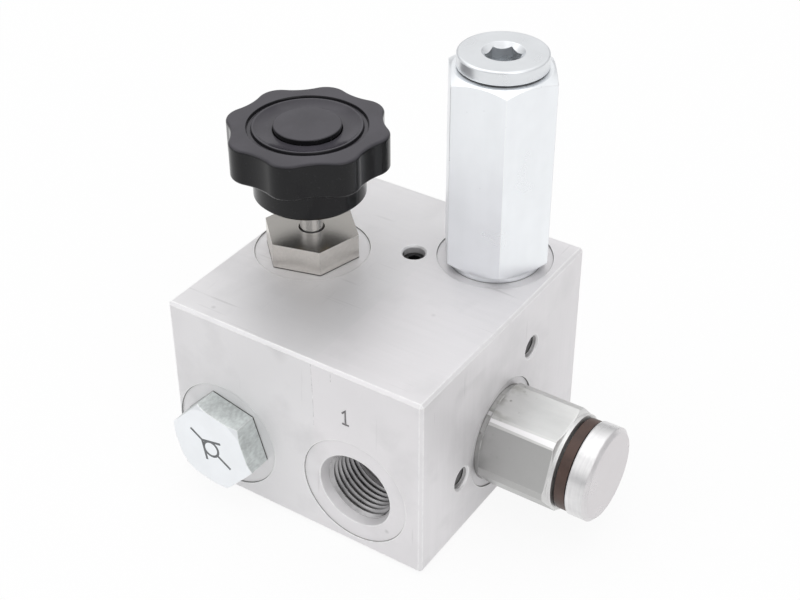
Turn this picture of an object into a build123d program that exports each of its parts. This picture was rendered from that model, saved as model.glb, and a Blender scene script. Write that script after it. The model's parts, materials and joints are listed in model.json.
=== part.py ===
from build123d import *
import os
from math import radians, sqrt, tan

# Lowering manifold: a machined aluminium block with four screw-in cartridge valves.
# Millimetres. Origin at the centre of the block's bottom face, +Z up, front face towards -Y.
# X runs across the front face, Y runs from the front face to the back face.

# Block
block_width = 75.0
block_depth = 78.0
block_height = 53.0
edge_break = 0.75

# Where the cartridges, ports and drillings stand
left_x = -21.6
gallery_z = 17.4
needle_y = 0.2
relief_x = 19.9
relief_y = 23.2
regulator_y = -1.2
regulator_z = 18.9
port_c_x = 17.9
port_p_y = 20.0
port_t_x = -12.0
tank_z = 37.1
tank_y = 12.8
top_drilling_x = 1.7
cross_drilling_y = -20.5

# Valve cavity: depths are counted down from the floor of its spotface
spotface_radius = 15.1
spotface_depth = 0.4
mouth_radius = 10.4
mouth_depth = 2.6
thread_radius = 9.525
thread_depth = 13.6
ring_radius = 8.75
ring_depth = 21.1
nose_radius = 6.375
nose_depth = 28.6
nose_lead = 0.8
nose_drill_radius = 3.6
port_thread_depth = 14.6
port_drill_radius = 3.4
drill_point = 0.6

# Drillings and their screwed plugs
gallery_radius = 4.0
deep_drill_radius = 3.25
tank_drill_radius = 3.5
small_drill_radius = 2.5
top_drill_radius = 2.0
plug_thread_radius = 3.0
plug_thread_depth = 8.0
plug_mouth_radius = 3.45
plug_length = 5.0
plug_lead = 0.5
plug_socket_flats = 3.0
plug_socket_depth = 2.5
top_plug_recess = 2.0
side_plug_recess = 2.75

# Mounting threads in the bottom face
mount_spacing = 54.0
mount_radius = 4.0
mount_depth = 12.0

# Clearances, and how far a cut starts outside its face
overcut = 1.0
thread_clearance = 0.075
guide_clearance = 0.05
stem_clearance = 0.05
socket_clearance = 0.05
seat_gap = 0.06
slot_clearance = 0.15

# Shank and cage that the four cartridges share, counted from the spotface floor
neck_radius = 8.1
neck_length = 2.5
thread_lead = 0.6
shank_length = 13.4
cage_insert = 4.0
cage_length = 28.2
cage_bore_radius = 4.5
cage_seat_depth = 21.0
seat_bore_radius = 3.2
cage_edge = 0.5
window_radius = 2.1
window_depth = 18.4
seal_groove_radius = 5.05
seal_groove_start = 23.6
seal_groove_end = 26.2
head_seal_radius = 9.02
head_seal_half_width = 0.8
head_seal_half_height = 1.1
head_seal_depth = 1.2
nose_seal_half_width = 0.6
nose_seal_half_height = 0.85

# Hexagon heads: a low round face under the flats, and corners turned off at an angle
head_face_height = 0.2
head_face_radius = 11.0
turned_slope = tan(radians(30))

# Check valve
check_flats = 22.2
check_head = 7.2
check_corner_angle = -12.8
check_face_radius = 11.5
check_lift = 2.2
check_pocket_radius = 4.0
check_pocket_end = 3.0
check_wire_radius = 0.25
check_spring_radius = 2.5
check_spring_turns = 7.0

# Poppets
poppet_skirt_end = 20.9
poppet_face_radius = 2.6
poppet_spring_bore = 3.1
poppet_spring_floor = 18.9
stop_gap = 0.1

# Needle valve and its knob
needle_flats = 22.2
needle_head = 7.0
needle_corner_angle = 15.2
stem_radius = 3.0
stem_recess_radius = 3.4
stem_recess_depth = 1.8
stem_seal_low = 2.4
stem_seal_high = 4.2
stem_seal_groove_radius = 4.6
stem_bore_low = 1.5
spindle_thread_radius = 3.9
spindle_thread_top = 2.6
spindle_thread_bottom = 9.2
spindle_thread_bore_end = 6.8
spindle_neck_radius = 1.5
button_radius = 2.5
button_top = 12.4
button_bottom = 13.6
needle_top = 11.0
needle_skirt_end = 20.6
needle_taper_radius = 2.9
needle_tip_radius = 1.0
needle_tip_depth = 26.5
knob_bottom = 17.4
knob_rim_bottom = 27.0
knob_top = 36.7
knob_collar_radius = 14.4
knob_lobe_reach = 21.0
knob_hollow_reach = 19.05
knob_lobe_radius = 6.0
knob_lobes = 8
knob_lobe_angle = 18.7
knob_edge = 0.8
knob_groove_outer = 15.3
knob_groove_inner = 13.8
knob_groove_drop = 0.8
knob_groove_slant = 0.3
knob_dish_edge = 13.4
knob_dish_radius = 10.0
knob_dish_drop = 1.0
cover_radius = 8.55
cover_rise = 0.4
cover_thickness = 3.2
cover_gap = 0.2
cover_edge = 0.35
bush_radius = 5.0
bush_length = 14.1
bush_thread_radius = 2.5
spindle_end = 30.5

# Relief valve
relief_flats = 25.4
relief_top = 54.4
relief_corner_angle = 4.0
relief_base_radius = 12.2
relief_base_height = 1.4
relief_chamber_radius = 5.6
relief_wire_radius = 0.95
relief_spring_radius = 4.2
relief_spring_turns = 8.0
relief_flange_radius = 5.2
relief_flange_thickness = 1.0
relief_spigot_radius = 3.0
relief_spigot_length = 4.0
relief_plate_low = 21.5
relief_plate_thickness = 1.8
relief_plate_radius = 5.45
relief_adjuster_radius = 7.0
relief_adjuster_bore_low = 23.9
relief_adjuster_low = 27.0
relief_adjuster_high = 37.0
relief_nose_radius = 5.0
relief_socket_flats = 6.0
relief_socket_depth = 5.0
cap_plug_radius = 11.2
cap_plug_thickness = 4.0
cap_plug_thread_length = 9.8
cap_plug_room = 0.6
cap_plug_edge = 0.6
cap_plug_socket_flats = 7.9
cap_plug_socket_depth = 9.0
cap_plug_socket_mouth = 5.3
cap_plug_socket_angle = 34.0

# Flow regulator
regulator_flats = 25.4
regulator_corner_angle = 9.0
regulator_corner_radius = 14.0
regulator_base_radius = 12.8
regulator_base_height = 1.2
regulator_hex_end = 20.6
regulator_collar_radius = 12.4
regulator_collar_end = 21.5
regulator_spigot_radius = 9.4
regulator_spigot_end = 28.8
regulator_chamber_radius = 4.3
regulator_wire_radius = 0.4
regulator_spring_radius = 2.5
regulator_spring_turns = 9.0
spool_bore_radius = 2.5
spool_bore_end = 15.0
spool_spring_floor = 14.2
spool_orifice_radius = 0.8
spool_port_radius = 1.4
spool_travel = 1.8
regulator_plate_low = 9.1
regulator_plate_thickness = 1.5
regulator_plate_radius = 4.15
regulator_plate_spigot_radius = 1.9
regulator_plate_spigot_length = 3.0
regulator_adjuster_radius = 5.0
regulator_adjuster_bore_low = 10.8
regulator_adjuster_low = 13.0
regulator_adjuster_high = 23.0
regulator_nose_radius = 3.6
regulator_socket_flats = 4.0
regulator_socket_depth = 4.0
cap_ring_low_gap = 0.7
cap_ring_width = 2.8
cap_ring_gap = 0.4
cap_ring_radius = 12.0
cap_radius = 12.4
cap_end = 30.9
cap_wall = 1.8
cap_edge_length = 0.9
cap_edge_drop = 1.1


def seat_plane(face_point, outward, across):
    # The floor of a spotface: local z points out of the block
    direction = Vector(*outward)
    return Plane(Vector(*face_point) - direction * spotface_depth, x_dir=across, z_dir=direction)


def section_plane(seat):
    # The plane that holds a seat's axis: local x is the radius, local y the height above the seat
    return Plane(seat.origin, x_dir=seat.x_dir, z_dir=seat.x_dir.cross(seat.z_dir))


def turn(seat, outline, mode=Mode.ADD):
    # A body of revolution about a seat's axis, from (radius, height) corners
    with BuildSketch(section_plane(seat)) as profile:
        with BuildLine():
            Polyline(*outline, close=True)
        make_face()
    revolve(profile.sketch, axis=Axis(seat.origin, seat.z_dir), mode=mode)


def tube(seat, radius, low, high, mode=Mode.ADD):
    # A round bar or bore between two heights
    with BuildSketch(seat.offset(low)) as profile:
        Circle(radius)
    extrude(profile.sketch, high - low, mode=mode)


def hexagon(seat, flats, low, high, corner_angle=0.0, mode=Mode.ADD):
    # A hexagonal bar or socket between two heights
    with BuildSketch(seat.offset(low)) as profile:
        RegularPolygon(flats / 2, 6, major_radius=False, rotation=corner_angle)
    extrude(profile.sketch, high - low, mode=mode)


def hexagon_head(seat, flats, height, corner_angle):
    # A spanner hexagon that stands on its round face
    tube(seat, head_face_radius, 0, head_face_height)
    hexagon(seat, flats, head_face_height, height, corner_angle)


def seal_ring(seat, radius, height, half_width, half_height):
    # An O-ring squeezed in its groove
    with BuildSketch(section_plane(seat)) as profile:
        with Locations((radius, height)):
            Ellipse(half_width, half_height)
    revolve(profile.sketch, axis=Axis(seat.origin, seat.z_dir))


def drilling(face, radius, depth):
    # A blind drilling with its conical drill point, from a plane on the face
    outline = [(0, overcut), (radius, overcut), (radius, -depth), (0, -depth - radius * drill_point)]
    turn(face, outline, mode=Mode.SUBTRACT)


def port_mouth(seat, depth):
    # Spotface, seal chamfer and threaded bore that every cavity and port starts with
    outline = [
        (0, overcut),
        (spotface_radius, overcut),
        (spotface_radius, 0),
        (mouth_radius, 0),
        (thread_radius, -mouth_depth),
        (thread_radius, -depth),
        (0, -depth),
    ]
    turn(seat, outline, mode=Mode.SUBTRACT)


def valve_cavity(seat, drill_depth, drill_radius=nose_drill_radius):
    # Below the thread come the side-port ring, the nose bore and the nose drilling
    port_mouth(seat, thread_depth)
    outline = [
        (0, -mouth_depth),
        (ring_radius, -mouth_depth),
        (ring_radius, -ring_depth),
        (nose_radius + nose_lead, -ring_depth),
        (nose_radius, -ring_depth - nose_lead),
        (nose_radius, -nose_depth),
        (drill_radius, -nose_depth),
        (drill_radius, -drill_depth),
        (0, -drill_depth - drill_radius * drill_point),
    ]
    turn(seat, outline, mode=Mode.SUBTRACT)


def plug_hole(face, drill_depth, drill_radius=small_drill_radius):
    # A small tapped hole with a countersink, and the drilling that it closes
    countersink = plug_mouth_radius - plug_thread_radius
    outline = [
        (0, overcut),
        (plug_mouth_radius, overcut),
        (plug_mouth_radius, 0),
        (plug_thread_radius, -countersink),
        (plug_thread_radius, -plug_thread_depth),
        (drill_radius, -plug_thread_depth),
        (drill_radius, -drill_depth),
        (0, -drill_depth - drill_radius * drill_point),
    ]
    turn(face, outline, mode=Mode.SUBTRACT)


def construction_plug(face, recess):
    # A hexagon-socket screw that closes a drilling below its face
    radius = plug_thread_radius - guide_clearance
    outline = [
        (0, -recess),
        (radius - plug_lead, -recess),
        (radius, -recess - plug_lead),
        (radius, -recess - plug_length + plug_lead),
        (radius - plug_lead, -recess - plug_length),
        (0, -recess - plug_length),
    ]
    turn(face, outline)
    hexagon(face, plug_socket_flats, -recess - plug_socket_depth, -recess, mode=Mode.SUBTRACT)


def shank(seat):
    # The neck that holds the head seal, and the thread below it
    radius = thread_radius - thread_clearance
    outline = [
        (0, 0),
        (neck_radius, 0),
        (neck_radius, -neck_length),
        (radius - thread_lead, -neck_length),
        (radius, -neck_length - thread_lead),
        (radius, -shank_length + thread_lead),
        (radius - thread_lead, -shank_length),
        (0, -shank_length),
    ]
    turn(seat, outline)


cage_radius = nose_radius - thread_clearance
cage_top = shank_length - cage_insert
poppet_radius = cage_bore_radius - guide_clearance
poppet_cone_end = poppet_skirt_end + poppet_radius - poppet_face_radius


def cage_socket(seat):
    # The counterbore in the end of the shank that takes the cage
    tube(seat, cage_radius + guide_clearance, -shank_length, -cage_top, mode=Mode.SUBTRACT)


def cage(seat):
    # Sleeve with the poppet's bore, a conical seat, four windows and the nose seal's groove
    seat_cone = cage_bore_radius - seat_bore_radius
    outline = [
        (cage_bore_radius, -cage_top),
        (cage_radius, -cage_top),
        (cage_radius, -seal_groove_start),
        (seal_groove_radius, -seal_groove_start),
        (seal_groove_radius, -seal_groove_end),
        (cage_radius, -seal_groove_end),
        (cage_radius, -cage_length + cage_edge),
        (cage_radius - cage_edge, -cage_length),
        (seat_bore_radius, -cage_length),
        (seat_bore_radius, -cage_seat_depth - seat_cone),
        (cage_bore_radius, -cage_seat_depth),
    ]
    turn(seat, outline)
    across = section_plane(seat)
    along = Plane(seat.origin, x_dir=seat.y_dir, z_dir=seat.x_dir)
    for side in (across, along):
        with BuildSketch(side) as windows:
            with Locations(side.to_local_coords(seat.origin - seat.z_dir * window_depth)):
                Circle(window_radius)
        extrude(windows.sketch, cage_radius * 2, both=True, mode=Mode.SUBTRACT)


def nose_seal(seat):
    # The O-ring between the cage's groove and the nose bore
    middle = (seal_groove_radius + nose_radius) / 2
    groove_middle = -(seal_groove_start + seal_groove_end) / 2
    seal_ring(seat, middle, groove_middle, nose_seal_half_width, nose_seal_half_height)


def head_seal(seat):
    # The O-ring in the seal chamfer under a cartridge's head
    seal_ring(seat, head_seal_radius, -head_seal_depth, head_seal_half_width, head_seal_half_height)


def coil_spring(seat, low, high, coil_radius, wire_radius, turns):
    # Wire wound round the seat's axis, between two heights
    rise = high - low - 2 * wire_radius
    start = seat.origin + seat.z_dir * (low + wire_radius)
    path = Edge.make_helix(rise / turns, rise, coil_radius, start, seat.z_dir)
    with BuildSketch(Plane(path @ 0, z_dir=path % 0)) as wire:
        Circle(wire_radius)
    sweep(wire.sketch, path=path, is_frenet=True)


# Seats of the four cartridges and the three ports
front = -block_depth / 2
back = block_depth / 2
left = -block_width / 2
right = block_width / 2
check_seat = seat_plane((left_x, front, gallery_z), (0, -1, 0), (1, 0, 0))
needle_seat = seat_plane((left_x, needle_y, block_height), (0, 0, 1), (1, 0, 0))
relief_seat = seat_plane((relief_x, relief_y, block_height), (0, 0, 1), (1, 0, 0))
regulator_seat = seat_plane((right, regulator_y, regulator_z), (1, 0, 0), (0, 1, 0))
port_c_seat = seat_plane((port_c_x, front, gallery_z), (0, -1, 0), (1, 0, 0))
port_p_seat = seat_plane((left, port_p_y, gallery_z), (-1, 0, 0), (0, -1, 0))
ring_middle = (thread_depth + ring_depth) / 2
port_t_z = block_height - spotface_depth - ring_middle
port_t_seat = seat_plane((port_t_x, back, port_t_z), (0, 1, 0), (-1, 0, 0))

# Faces of the three plugged drillings
top_plug_face = Plane((top_drilling_x, tank_y, block_height), x_dir=(1, 0, 0), z_dir=(0, 0, 1))
tank_plug_face = Plane((right, tank_y, tank_z), x_dir=(0, 1, 0), z_dir=(1, 0, 0))
cross_plug_face = Plane((right, cross_drilling_y, gallery_z), x_dir=(0, 1, 0), z_dir=(1, 0, 0))

# Manifold block
with BuildPart() as manifold_block:
    Box(block_width, block_depth, block_height, align=(Align.CENTER, Align.CENTER, Align.MIN))
    chamfer(manifold_block.edges(), edge_break)

    # Check valve: its nose drilling is the supply gallery, which runs on past the supply port
    valve_cavity(check_seat, port_p_y + gallery_radius - front - spotface_depth, gallery_radius)

    # Needle valve above the supply gallery
    valve_cavity(needle_seat, block_height - spotface_depth - gallery_z)

    # Relief valve above the deep drilling behind the work port
    valve_cavity(relief_seat, block_height - spotface_depth - gallery_z)

    # Flow regulator: its nose drilling crosses the block into the supply gallery
    valve_cavity(regulator_seat, right - spotface_depth - left_x)

    # Work port on the front face, drilled on to the relief valve's nose
    port_mouth(port_c_seat, port_thread_depth)
    drilling(port_c_seat, deep_drill_radius, relief_y - front - spotface_depth)

    # Supply port on the left face, drilled into the supply gallery
    port_mouth(port_p_seat, port_thread_depth)
    drilling(port_p_seat, port_drill_radius, left_x - left - spotface_depth)

    # Tank port on the back face, drilled on to the needle valve's ring
    port_mouth(port_t_seat, port_thread_depth)
    drilling(port_t_seat, tank_drill_radius, back - spotface_depth - needle_y - ring_radius / 2)

    # Tank drilling from the right face past the relief valve's ring to the tank port's drilling
    plug_hole(tank_plug_face, right - port_t_x)

    # Cross drilling from the right face past the work port to the check valve's ring
    plug_hole(cross_plug_face, right - left_x - ring_radius + small_drill_radius)

    # Drilling from the top face down to the tank drilling
    plug_hole(top_plug_face, block_height - tank_z, top_drill_radius)

    # Two mounting threads in the bottom face
    with BuildSketch(Plane.XY) as mount_holes:
        with GridLocations(0, mount_spacing, 1, 2):
            Circle(mount_radius)
    extrude(mount_holes.sketch, mount_depth, mode=Mode.SUBTRACT)

# Three screwed plugs in the drillings' mouths
with BuildPart() as construction_plugs:
    construction_plug(top_plug_face, top_plug_recess)
    construction_plug(tank_plug_face, side_plug_recess)
    construction_plug(cross_plug_face, side_plug_recess)

# Check valve: hexagon plug that holds the cage and the poppet's spring
with BuildPart() as check_valve_body:
    hexagon_head(check_seat, check_flats, check_head, check_corner_angle)
    check_corner = check_flats / sqrt(3)
    turn(
        check_seat,
        [
            (0, 0),
            (check_corner, 0),
            (check_corner, check_head - (check_corner - check_face_radius) * turned_slope),
            (check_face_radius, check_head),
            (0, check_head),
        ],
        mode=Mode.INTERSECT,
    )
    shank(check_seat)
    cage_socket(check_seat)
    tube(check_seat, check_pocket_radius, -cage_top, -check_pocket_end, mode=Mode.SUBTRACT)

with BuildPart() as check_valve_cage:
    cage(check_seat)

# Hollow poppet: its skirt covers the windows until it lifts
check_poppet_top = cage_top + check_lift + stop_gap
with BuildPart() as check_valve_poppet:
    turn(
        check_seat,
        [
            (poppet_spring_bore, -check_poppet_top),
            (poppet_radius, -check_poppet_top),
            (poppet_radius, -poppet_skirt_end),
            (poppet_face_radius, -poppet_cone_end),
            (0, -poppet_cone_end),
            (0, -poppet_spring_floor),
            (poppet_spring_bore, -poppet_spring_floor),
        ],
    )

with BuildPart() as check_valve_spring:
    coil_spring(
        check_seat,
        -poppet_spring_floor + seat_gap,
        -check_pocket_end - seat_gap,
        check_spring_radius,
        check_wire_radius,
        check_spring_turns,
    )

with BuildPart() as check_valve_head_seal:
    head_seal(check_seat)

with BuildPart() as check_valve_nose_seal:
    nose_seal(check_seat)

# Needle valve: hexagon body with the stem's bore, its seal groove and the spindle's thread
with BuildPart() as needle_valve_body:
    hexagon_head(needle_seat, needle_flats, needle_head, needle_corner_angle)
    shank(needle_seat)
    cage_socket(needle_seat)
    turn(
        needle_seat,
        [
            (0, needle_head),
            (stem_recess_radius, needle_head),
            (stem_recess_radius, needle_head - stem_recess_depth),
            (stem_radius + stem_clearance, needle_head - stem_recess_depth),
            (stem_radius + stem_clearance, stem_seal_high),
            (stem_seal_groove_radius, stem_seal_high),
            (stem_seal_groove_radius, stem_seal_low),
            (stem_radius + stem_clearance, stem_seal_low),
            (stem_radius + stem_clearance, stem_bore_low),
            (spindle_thread_radius + guide_clearance, stem_bore_low),
            (spindle_thread_radius + guide_clearance, -spindle_thread_bore_end),
            (cage_bore_radius, -spindle_thread_bore_end),
            (cage_bore_radius, -cage_top),
            (0, -cage_top),
        ],
        mode=Mode.SUBTRACT,
    )

with BuildPart() as needle_valve_cage:
    cage(needle_seat)

# Needle: a guided shoulder with a long tapered tip, and a side slot that takes the spindle's button
with BuildPart() as needle_valve_needle:
    needle_cone_end = needle_skirt_end + poppet_radius - needle_taper_radius
    turn(
        needle_seat,
        [
            (0, -needle_top),
            (poppet_radius, -needle_top),
            (poppet_radius, -needle_skirt_end),
            (needle_taper_radius, -needle_cone_end),
            (needle_tip_radius, -needle_tip_depth),
            (0, -needle_tip_depth),
        ],
    )
    for half_width, low, high in (
        (spindle_neck_radius + slot_clearance, button_top - slot_clearance, needle_top),
        (button_radius + slot_clearance, button_bottom + slot_clearance, button_top - slot_clearance),
    ):
        with BuildSketch(needle_seat.offset(-low)) as slot:
            Circle(half_width)
            with Locations((poppet_radius / 2, 0)):
                Rectangle(poppet_radius, 2 * half_width)
        extrude(slot.sketch, low - high, mode=Mode.SUBTRACT)

# Spindle: stem through the head, thread below it and a button that carries the needle
with BuildPart() as needle_valve_spindle:
    turn(
        needle_seat,
        [
            (0, -button_bottom),
            (button_radius, -button_bottom),
            (button_radius, -button_top),
            (spindle_neck_radius, -button_top),
            (spindle_neck_radius, -spindle_thread_bottom),
            (spindle_thread_radius, -spindle_thread_bottom),
            (spindle_thread_radius, -spindle_thread_top),
            (stem_radius, -spindle_thread_top),
            (stem_radius, knob_bottom),
            (bush_thread_radius, knob_bottom),
            (bush_thread_radius, spindle_end),
            (0, spindle_end),
        ],
    )

with BuildPart() as needle_valve_stem_seal:
    stem_seal_middle = (stem_radius + stem_seal_groove_radius) / 2
    seal_ring(
        needle_seat,
        stem_seal_middle,
        (stem_seal_low + stem_seal_high) / 2,
        stem_seal_groove_radius - stem_seal_middle - stem_clearance,
        (stem_seal_high - stem_seal_low) / 2 - stem_clearance,
    )

with BuildPart() as needle_valve_head_seal:
    head_seal(needle_seat)

with BuildPart() as needle_valve_nose_seal:
    nose_seal(needle_seat)

# Brass bush moulded into the knob and screwed on the spindle's end
with BuildPart() as needle_valve_knob_bush:
    turn(
        needle_seat,
        [
            (bush_thread_radius + guide_clearance, knob_bottom),
            (bush_radius, knob_bottom),
            (bush_radius, knob_bottom + bush_length),
            (0, knob_bottom + bush_length),
            (0, spindle_end + stop_gap),
            (bush_thread_radius + guide_clearance, spindle_end + stop_gap),
        ],
    )

# Knob: rim of tangent arcs on a round collar, with a grooved and dished top
lobe_step = 360 / knob_lobes
lobe_middle = Vector(knob_lobe_reach - knob_lobe_radius, 0)
hollow_direction = Vector(1, 0).rotate(Axis.Z, lobe_step / 2)
lobe_offset = lobe_middle.dot(hollow_direction)
hollow_radius = (
    lobe_middle.length**2 + knob_hollow_reach**2 - 2 * lobe_offset * knob_hollow_reach - knob_lobe_radius**2
) / (2 * (knob_lobe_radius + lobe_offset - knob_hollow_reach))
hollow_middle = hollow_direction * (knob_hollow_reach + hollow_radius)
join_share = knob_lobe_radius / (knob_lobe_radius + hollow_radius)
lobe_end = lobe_middle + (hollow_middle - lobe_middle) * join_share
lobe_start = Vector(lobe_end.X, -lobe_end.Y)
cover_floor = knob_top + cover_rise - cover_thickness
with BuildPart() as needle_valve_knob:
    with BuildSketch(needle_seat.offset(knob_rim_bottom)) as rim:
        with BuildLine():
            for lobe in range(knob_lobes):
                lobe_turn = knob_lobe_angle + lobe * lobe_step
                start, peak, end, hollow, next_start = (
                    point.rotate(Axis.Z, lobe_turn)
                    for point in (
                        lobe_start,
                        Vector(knob_lobe_reach, 0),
                        lobe_end,
                        hollow_direction * knob_hollow_reach,
                        lobe_start.rotate(Axis.Z, lobe_step),
                    )
                )
                ThreePointArc(start, peak, end)
                ThreePointArc(end, hollow, next_start)
        make_face()
    extrude(rim.sketch, knob_top - knob_rim_bottom)
    fillet(needle_valve_knob.edges().filter_by(Axis.Z, reverse=True), knob_edge)
    turn(
        needle_seat,
        [
            (0, knob_bottom),
            (knob_collar_radius - knob_edge, knob_bottom),
            (knob_collar_radius, knob_bottom + knob_edge),
            (knob_collar_radius, knob_rim_bottom),
            (0, knob_rim_bottom),
        ],
    )
    turn(
        needle_seat,
        [
            (knob_groove_outer, knob_top),
            (knob_groove_outer - knob_groove_slant, knob_top - knob_groove_drop),
            (knob_groove_inner + knob_groove_slant, knob_top - knob_groove_drop),
            (knob_groove_inner, knob_top),
        ],
        mode=Mode.SUBTRACT,
    )
    dish_foot = (knob_dish_radius, knob_top - knob_dish_drop)
    with BuildSketch(section_plane(needle_seat)) as dish:
        with BuildLine():
            Polyline(
                (knob_dish_edge, knob_top),
                (0, knob_top),
                (0, cover_floor),
                (cover_radius + cover_gap, cover_floor),
                (cover_radius + cover_gap, knob_top - knob_dish_drop),
                dish_foot,
            )
            TangentArc(dish_foot, (knob_dish_edge, knob_top), tangent=(1, 0))
        make_face()
    revolve(dish.sketch, axis=Axis(needle_seat.origin, needle_seat.z_dir), mode=Mode.SUBTRACT)
    tube(needle_seat, bush_radius, knob_bottom, knob_bottom + bush_length, mode=Mode.SUBTRACT)

# Round cover pressed into the top of the knob
with BuildPart() as needle_valve_knob_cover:
    tube(needle_seat, cover_radius, cover_floor, knob_top + cover_rise)
    fillet(needle_valve_knob_cover.faces().sort_by(Axis.Z)[-1].edges(), cover_edge)

# Relief valve: tall hexagon housing with the spring chamber and the adjuster's thread
with BuildPart() as relief_valve_housing:
    hexagon(relief_seat, relief_flats, relief_base_height, relief_top, relief_corner_angle)
    relief_corner = relief_flats / sqrt(3)
    relief_drop = relief_corner - relief_base_radius
    turn(
        relief_seat,
        [
            (0, relief_base_height),
            (relief_base_radius, relief_base_height),
            (relief_corner, relief_base_height + relief_drop * turned_slope),
            (relief_corner, relief_top - relief_drop * turned_slope),
            (relief_base_radius, relief_top),
            (0, relief_top),
        ],
        mode=Mode.INTERSECT,
    )
    tube(relief_seat, relief_base_radius, 0, relief_base_height)
    shank(relief_seat)
    cage_socket(relief_seat)
    plug_bore_low = relief_top - neck_length - cap_plug_thread_length
    turn(
        relief_seat,
        [
            (0, relief_top),
            (mouth_radius, relief_top),
            (thread_radius, relief_top - mouth_depth),
            (thread_radius, plug_bore_low + thread_clearance),
            (relief_adjuster_radius, plug_bore_low + thread_clearance),
            (relief_adjuster_radius, relief_adjuster_bore_low),
            (relief_chamber_radius, relief_adjuster_bore_low),
            (relief_chamber_radius, -cage_top),
            (0, -cage_top),
        ],
        mode=Mode.SUBTRACT,
    )

with BuildPart() as relief_valve_cage:
    cage(relief_seat)

# Relief poppet: guided cone with the spring's flange and spigot above the cage
relief_flange_low = -cage_top + seat_gap
with BuildPart() as relief_valve_poppet:
    turn(
        relief_seat,
        [
            (0, -poppet_cone_end),
            (poppet_face_radius, -poppet_cone_end),
            (poppet_radius, -poppet_skirt_end),
            (poppet_radius, relief_flange_low),
            (relief_flange_radius, relief_flange_low),
            (relief_flange_radius, relief_flange_low + relief_flange_thickness),
            (relief_spigot_radius, relief_flange_low + relief_flange_thickness),
            (relief_spigot_radius, relief_flange_low + relief_flange_thickness + relief_spigot_length),
            (0, relief_flange_low + relief_flange_thickness + relief_spigot_length),
        ],
    )

with BuildPart() as relief_valve_spring:
    coil_spring(
        relief_seat,
        relief_flange_low + relief_flange_thickness + seat_gap,
        relief_plate_low - seat_gap,
        relief_spring_radius,
        relief_wire_radius,
        relief_spring_turns,
    )

# Spring plate between the spring and the adjuster's nose
with BuildPart() as relief_valve_spring_plate:
    turn(
        relief_seat,
        [
            (0, relief_plate_low - relief_spigot_length),
            (relief_spigot_radius, relief_plate_low - relief_spigot_length),
            (relief_spigot_radius, relief_plate_low),
            (relief_plate_radius, relief_plate_low),
            (relief_plate_radius, relief_plate_low + relief_plate_thickness),
            (0, relief_plate_low + relief_plate_thickness),
        ],
    )

# Adjusting screw with a hexagon socket
with BuildPart() as relief_valve_adjuster:
    turn(
        relief_seat,
        [
            (0, relief_plate_low + relief_plate_thickness + seat_gap),
            (relief_nose_radius, relief_plate_low + relief_plate_thickness + seat_gap),
            (relief_nose_radius, relief_adjuster_low),
            (relief_adjuster_radius - guide_clearance, relief_adjuster_low),
            (relief_adjuster_radius - guide_clearance, relief_adjuster_high),
            (0, relief_adjuster_high),
        ],
    )
    hexagon(
        relief_seat,
        relief_socket_flats,
        relief_adjuster_high - relief_socket_depth,
        relief_adjuster_high,
        mode=Mode.SUBTRACT,
    )

# Flanged plug with a hexagon socket that closes the housing
with BuildPart() as relief_valve_plug:
    plug_top = relief_top + cap_plug_thickness
    plug_thread = thread_radius - thread_clearance
    turn(
        relief_seat,
        [
            (0, plug_top),
            (cap_plug_radius, plug_top),
            (cap_plug_radius, relief_top + cap_plug_edge),
            (cap_plug_radius - cap_plug_edge, relief_top),
            (neck_radius, relief_top),
            (neck_radius, relief_top - neck_length),
            (plug_thread - thread_lead, relief_top - neck_length),
            (plug_thread, relief_top - neck_length - thread_lead),
            (plug_thread, plug_bore_low + cap_plug_room),
            (0, plug_bore_low + cap_plug_room),
        ],
    )
    fillet(relief_valve_plug.faces().sort_by(Axis.Z)[-1].edges(), cap_plug_edge)
    hexagon(
        relief_seat,
        cap_plug_socket_flats,
        plug_top - cap_plug_socket_depth,
        plug_top,
        cap_plug_socket_angle,
        mode=Mode.SUBTRACT,
    )
    turn(
        relief_seat,
        [(0, plug_top), (cap_plug_socket_mouth, plug_top), (0, plug_top - cap_plug_socket_mouth)],
        mode=Mode.SUBTRACT,
    )

with BuildPart() as relief_valve_plug_seal:
    seal_ring(
        relief_seat,
        head_seal_radius,
        relief_top - head_seal_depth,
        head_seal_half_width,
        head_seal_half_height,
    )

with BuildPart() as relief_valve_head_seal:
    head_seal(relief_seat)

with BuildPart() as relief_valve_nose_seal:
    nose_seal(relief_seat)

# Flow regulator: hexagon body with turned corners, collar and the spigot that carries the cap
with BuildPart() as flow_regulator_body:
    hexagon(regulator_seat, regulator_flats, 0, regulator_hex_end, regulator_corner_angle)
    turn(
        regulator_seat,
        [
            (0, 0),
            (regulator_base_radius, 0),
            (regulator_base_radius, regulator_base_height),
            (
                regulator_corner_radius,
                regulator_base_height + (regulator_corner_radius - regulator_base_radius) * turned_slope,
            ),
            (
                regulator_corner_radius,
                regulator_hex_end - (regulator_corner_radius - regulator_collar_radius) / turned_slope,
            ),
            (regulator_collar_radius, regulator_hex_end),
            (0, regulator_hex_end),
        ],
        mode=Mode.INTERSECT,
    )
    tube(regulator_seat, regulator_base_radius, 0, regulator_base_height)
    tube(regulator_seat, regulator_collar_radius, regulator_hex_end, regulator_collar_end)
    tube(regulator_seat, regulator_spigot_radius, regulator_collar_end, regulator_spigot_end)
    shank(regulator_seat)
    cage_socket(regulator_seat)
    turn(
        regulator_seat,
        [
            (0, regulator_spigot_end),
            (regulator_adjuster_radius, regulator_spigot_end),
            (regulator_adjuster_radius, regulator_adjuster_bore_low),
            (regulator_chamber_radius, regulator_adjuster_bore_low),
            (regulator_chamber_radius, -cage_top),
            (0, -cage_top),
        ],
        mode=Mode.SUBTRACT,
    )

with BuildPart() as flow_regulator_cage:
    cage(regulator_seat)

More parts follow.
